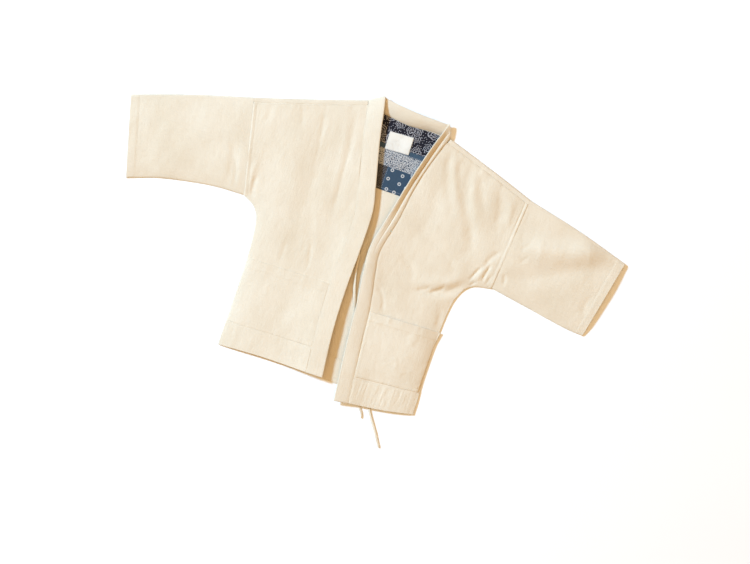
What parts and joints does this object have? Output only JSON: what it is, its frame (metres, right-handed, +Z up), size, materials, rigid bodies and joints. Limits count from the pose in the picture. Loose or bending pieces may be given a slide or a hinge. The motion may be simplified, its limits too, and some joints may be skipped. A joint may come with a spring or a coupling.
{
  "type": "kimono cardigan",
  "caption": "Open-front kimono cardigan of slubby cream cotton with a doubled collar band, patch pockets and cloth ties, laid flat on its back.",
  "frame": {"origin": "on the floor under the middle of the garment's outline, its ties left out", "axes": "+X towards the wearer's left sleeve, +Y towards the neck, +Z up from the floor"},
  "size_m": [1.3038, 0.8348, 0.025],
  "materials": {
    "cream_cloth": "matt slubby cotton",
    "band_cloth": "matt slubby cotton",
    "tie_cloth": "matt cotton",
    "patchwork_lining": "printed indigo cotton",
    "woven_label": "woven satin"
  },
  "bodies": {
    "root": {"back": "cream_cloth", "front_right": "cream_cloth", "front_left": "cream_cloth", "sleeve_right": "cream_cloth", "sleeve_left": "cream_cloth", "collar_band": "band_cloth", "pocket_right": "cream_cloth", "pocket_left": "cream_cloth", "back_hem_facing": "cream_cloth", "yoke_lining": "patchwork_lining", "neck_label": "woven_label", "tie_right": "tie_cloth", "tie_left": "tie_cloth"}
  },
  "joints": []
}
